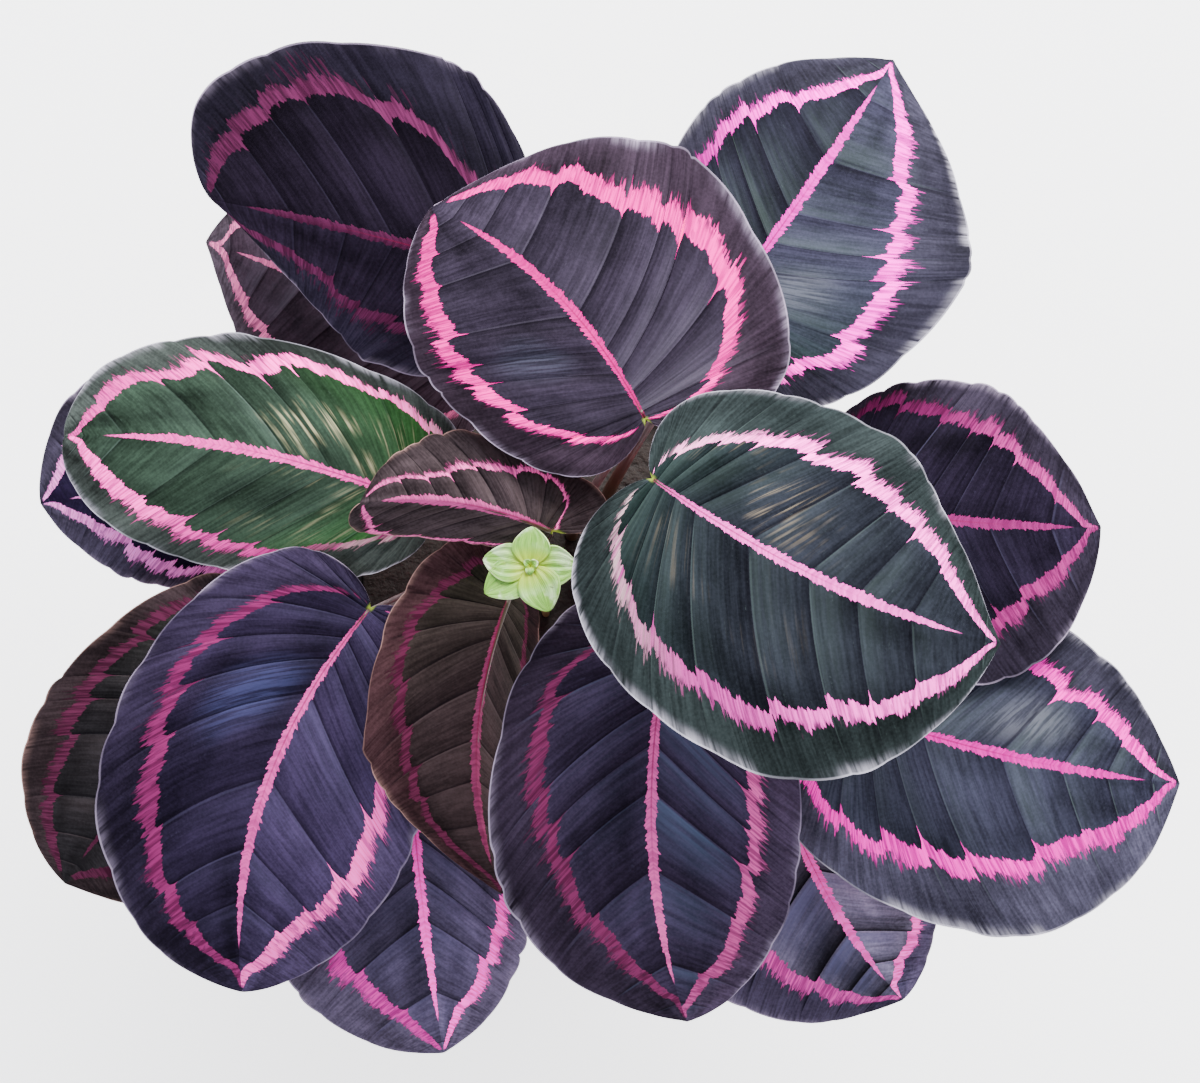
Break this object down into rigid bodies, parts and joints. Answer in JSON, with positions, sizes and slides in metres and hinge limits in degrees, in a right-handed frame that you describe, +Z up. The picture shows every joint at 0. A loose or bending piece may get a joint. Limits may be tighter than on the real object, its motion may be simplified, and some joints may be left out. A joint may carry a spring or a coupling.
{
  "type": "potted rose-painted calathea",
  "caption": "Potted prayer plant: broad dark leaves with pink feathered rings on slim red stalks, round one pale flower spike.",
  "frame": {"origin": "middle of the pot's flat underside", "axes": "+Z up along the pot's axis; -Y is the side that the large lower leaves lean to"},
  "size_m": [0.4736, 0.4082, 0.3358],
  "materials": {
    "leaf_dark": "satin purple-black blade with a pink ring",
    "leaf_green": "satin dark green blade with a pale pink ring",
    "leaf_brown": "satin brown-purple blade with a pink ring",
    "stalk": "satin dark red",
    "bract": "soft pale lime green",
    "husk": "dry papery brown",
    "soil": "loose dark potting soil",
    "pot": "plain matt dark plastic"
  },
  "bodies": {
    "root": {"leaf_01_blade": "leaf_dark", "leaf_01_stalk": "stalk", "leaf_02_blade": "leaf_dark", "leaf_02_stalk": "stalk", "leaf_03_blade": "leaf_dark", "leaf_03_stalk": "stalk", "leaf_04_blade": "leaf_dark", "leaf_04_stalk": "stalk", "leaf_05_blade": "leaf_dark", "leaf_05_stalk": "stalk", "leaf_06_blade": "leaf_green", "leaf_06_stalk": "stalk", "leaf_07_blade": "leaf_green", "leaf_07_stalk": "stalk", "leaf_08_blade": "leaf_dark", "leaf_08_stalk": "stalk", "leaf_09_blade": "leaf_dark", "leaf_09_stalk": "stalk", "leaf_10_blade": "leaf_dark", "leaf_10_stalk": "stalk", "leaf_11_blade": "leaf_brown", "leaf_11_stalk": "stalk", "leaf_12_blade": "leaf_dark", "leaf_12_stalk": "stalk", "leaf_13_blade": "leaf_brown", "leaf_13_stalk": "stalk", "leaf_14_blade": "leaf_green", "leaf_14_stalk": "stalk", "leaf_15_blade": "leaf_dark", "leaf_15_stalk": "stalk", "leaf_16_blade": "leaf_brown", "leaf_16_stalk": "stalk", "flower_bracts": "bract", "flower_stalk": "bract", "dry_husk": "husk", "soil": "soil", "pot": "pot"}
  },
  "joints": []
}
